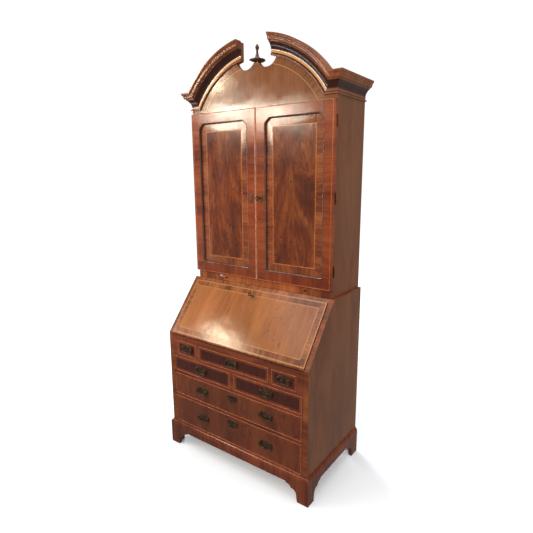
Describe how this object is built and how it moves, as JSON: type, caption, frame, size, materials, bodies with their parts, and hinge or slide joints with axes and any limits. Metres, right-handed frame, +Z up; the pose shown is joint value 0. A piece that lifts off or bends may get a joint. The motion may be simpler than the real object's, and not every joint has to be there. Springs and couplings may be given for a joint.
{
  "type": "secretary desk",
  "caption": "Walnut slant-front secretary desk with drawers, support slides and a fall, under a two-door bookcase with a broken arch pediment.",
  "frame": {"origin": "on the floor under the middle of the whole desk, at the centre of its footprint", "axes": "+X across the desk to the right seen from the front, +Y from the front to the back, +Z up"},
  "size_m": [1.061, 0.595, 2.4013],
  "materials": {
    "walnut_veneer": "polished",
    "walnut_fall": "polished",
    "walnut_side": "waxed",
    "walnut_burr": "polished",
    "walnut_moulding": "polished",
    "oak": "unpolished",
    "old_brass": "aged"
  },
  "bodies": {
    "case": {"gable_left": "walnut_side", "gable_right": "walnut_side", "base_back": "oak", "desk_top": "walnut_side", "writing_bed": "walnut_veneer", "base_bottom": "oak", "drawer_frame": "walnut_veneer", "dustboards": "oak", "base_moulding": "walnut_moulding", "plinth": "walnut_veneer", "pigeonholes": "oak", "upper_side_left": "walnut_side", "upper_side_right": "walnut_side", "upper_back": "oak", "upper_boards": "oak", "waist_rail": "walnut_veneer", "tympanum": "walnut_veneer", "cornice_left": "walnut_moulding", "cornice_right": "walnut_moulding", "finial": "walnut_moulding", "case_brass": "old_brass"},
    "drawer_top_left": {"drawer_top_left": "walnut_veneer", "plates_top_left": "old_brass"},
    "bail_top_left": {"bail_top_left": "old_brass"},
    "drawer_top_middle": {"drawer_top_middle": "walnut_veneer", "plates_top_middle": "old_brass"},
    "bail_top_middle": {"bail_top_middle": "old_brass"},
    "drawer_top_right": {"drawer_top_right": "walnut_veneer", "plates_top_right": "old_brass"},
    "bail_top_right": {"bail_top_right": "old_brass"},
    "drawer_second_left": {"drawer_second_left": "walnut_veneer", "plates_second_left": "old_brass"},
    "bail_second_left": {"bail_second_left": "old_brass"},
    "drawer_second_right": {"drawer_second_right": "walnut_veneer", "plates_second_right": "old_brass"},
    "bail_second_right": {"bail_second_right": "old_brass"},
    "drawer_third": {"drawer_third": "walnut_veneer", "plates_third": "old_brass"},
    "bail_third_left": {"bail_third_left": "old_brass"},
    "bail_third_right": {"bail_third_right": "old_brass"},
    "drawer_bottom": {"drawer_bottom": "walnut_veneer", "plates_bottom": "old_brass"},
    "bail_bottom_left": {"bail_bottom_left": "old_brass"},
    "bail_bottom_right": {"bail_bottom_right": "old_brass"},
    "fall": {"fall_board": "walnut_fall", "fall_escutcheon": "old_brass"},
    "fall_key": {"fall_key": "old_brass"},
    "loper_left": {"loper_left": "walnut_veneer"},
    "candle_slide_left": {"candle_slide_left": "walnut_veneer"},
    "inner_drawer_left": {"inner_drawer_left": "walnut_veneer"},
    "door_left": {"door_left_frame": "walnut_veneer", "door_left_panel": "walnut_burr", "door_left_brass": "old_brass"},
    "loper_right": {"loper_right": "walnut_veneer"},
    "candle_slide_right": {"candle_slide_right": "walnut_veneer"},
    "inner_drawer_right": {"inner_drawer_right": "walnut_veneer"},
    "door_right": {"door_right_frame": "walnut_veneer", "door_right_panel": "walnut_burr", "door_right_brass": "old_brass"},
    "door_key": {"door_key": "old_brass"}
  },
  "joints": [
    {"name": "drawer_top_left_slide", "type": "slide", "parent": "case", "child": "drawer_top_left", "axis": [0, -1, 0], "range_m": [0, 0.38]},
    {"name": "bail_top_left_swing", "type": "hinge", "parent": "drawer_top_left", "child": "bail_top_left", "pos_m": [-0.352, -0.2925, 0.672], "axis": [-1, 0, 0], "range_deg": [0, 80]},
    {"name": "drawer_top_middle_slide", "type": "slide", "parent": "case", "child": "drawer_top_middle", "axis": [0, -1, 0], "range_m": [0, 0.38]},
    {"name": "bail_top_middle_swing", "type": "hinge", "parent": "drawer_top_middle", "child": "bail_top_middle", "pos_m": [0, -0.2925, 0.672], "axis": [-1, 0, 0], "range_deg": [0, 80]},
    {"name": "drawer_top_right_slide", "type": "slide", "parent": "case", "child": "drawer_top_right", "axis": [0, -1, 0], "range_m": [0, 0.38]},
    {"name": "bail_top_right_swing", "type": "hinge", "parent": "drawer_top_right", "child": "bail_top_right", "pos_m": [0.352, -0.2925, 0.672], "axis": [-1, 0, 0], "range_deg": [0, 80]},
    {"name": "drawer_second_left_slide", "type": "slide", "parent": "case", "child": "drawer_second_left", "axis": [0, -1, 0], "range_m": [0, 0.38]},
    {"name": "bail_second_left_swing", "type": "hinge", "parent": "drawer_second_left", "child": "bail_second_left", "pos_m": [-0.239, -0.2925, 0.565], "axis": [-1, 0, 0], "range_deg": [0, 80]},
    {"name": "drawer_second_right_slide", "type": "slide", "parent": "case", "child": "drawer_second_right", "axis": [0, -1, 0], "range_m": [0, 0.38]},
    {"name": "bail_second_right_swing", "type": "hinge", "parent": "drawer_second_right", "child": "bail_second_right", "pos_m": [0.239, -0.2925, 0.565], "axis": [-1, 0, 0], "range_deg": [0, 80]},
    {"name": "drawer_third_slide", "type": "slide", "parent": "case", "child": "drawer_third", "axis": [0, -1, 0], "range_m": [0, 0.38]},
    {"name": "bail_third_left_swing", "type": "hinge", "parent": "drawer_third", "child": "bail_third_left", "pos_m": [-0.236, -0.2925, 0.432], "axis": [-1, 0, 0], "range_deg": [0, 80]},
    {"name": "bail_third_right_swing", "type": "hinge", "parent": "drawer_third", "child": "bail_third_right", "pos_m": [0.236, -0.2925, 0.432], "axis": [-1, 0, 0], "range_deg": [0, 80]},
    {"name": "drawer_bottom_slide", "type": "slide", "parent": "case", "child": "drawer_bottom", "axis": [0, -1, 0], "range_m": [0, 0.38]},
    {"name": "bail_bottom_left_swing", "type": "hinge", "parent": "drawer_bottom", "child": "bail_bottom_left", "pos_m": [-0.234, -0.2925, 0.256], "axis": [-1, 0, 0], "range_deg": [0, 80]},
    {"name": "bail_bottom_right_swing", "type": "hinge", "parent": "drawer_bottom", "child": "bail_bottom_right", "pos_m": [0.234, -0.2925, 0.256], "axis": [-1, 0, 0], "range_deg": [0, 80]},
    {"name": "fall_hinge", "type": "hinge", "parent": "case", "child": "fall", "pos_m": [0, -0.27518, 0.7517], "axis": [1, 0, 0], "range_deg": [0, 129.3]},
    {"name": "fall_key_turn", "type": "hinge", "parent": "fall", "child": "fall_key", "pos_m": [0, -0.08153, 1.00544], "axis": [0, -0.7736, 0.6337], "range_deg": [-90, 90]},
    {"name": "loper_left_slide", "type": "slide", "parent": "case", "child": "loper_left", "axis": [0, -1, 0], "range_m": [0, 0.3]},
    {"name": "candle_slide_left_slide", "type": "slide", "parent": "case", "child": "candle_slide_left", "axis": [0, -1, 0], "range_m": [0, 0.16]},
    {"name": "inner_drawer_left_slide", "type": "slide", "parent": "case", "child": "inner_drawer_left", "axis": [0, -1, 0], "range_m": [0, 0.16]},
    {"name": "door_left_hinge", "type": "hinge", "parent": "case", "child": "door_left", "pos_m": [-0.487, -0.018, 1.576], "axis": [0, 0, -1], "range_deg": [0, 110]},
    {"name": "loper_right_slide", "type": "slide", "parent": "case", "child": "loper_right", "axis": [0, -1, 0], "range_m": [0, 0.3]},
    {"name": "candle_slide_right_slide", "type": "slide", "parent": "case", "child": "candle_slide_right", "axis": [0, -1, 0], "range_m": [0, 0.16]},
    {"name": "inner_drawer_right_slide", "type": "slide", "parent": "case", "child": "inner_drawer_right", "axis": [0, -1, 0], "range_m": [0, 0.16]},
    {"name": "door_right_hinge", "type": "hinge", "parent": "case", "child": "door_right", "pos_m": [0.487, -0.018, 1.576], "axis": [0, 0, 1], "range_deg": [0, 110]},
    {"name": "door_key_turn", "type": "hinge", "parent": "door_right", "child": "door_key", "pos_m": [0.034, -0.0381, 1.57], "axis": [0, -1, 0], "range_deg": [-90, 90]}
  ]
}
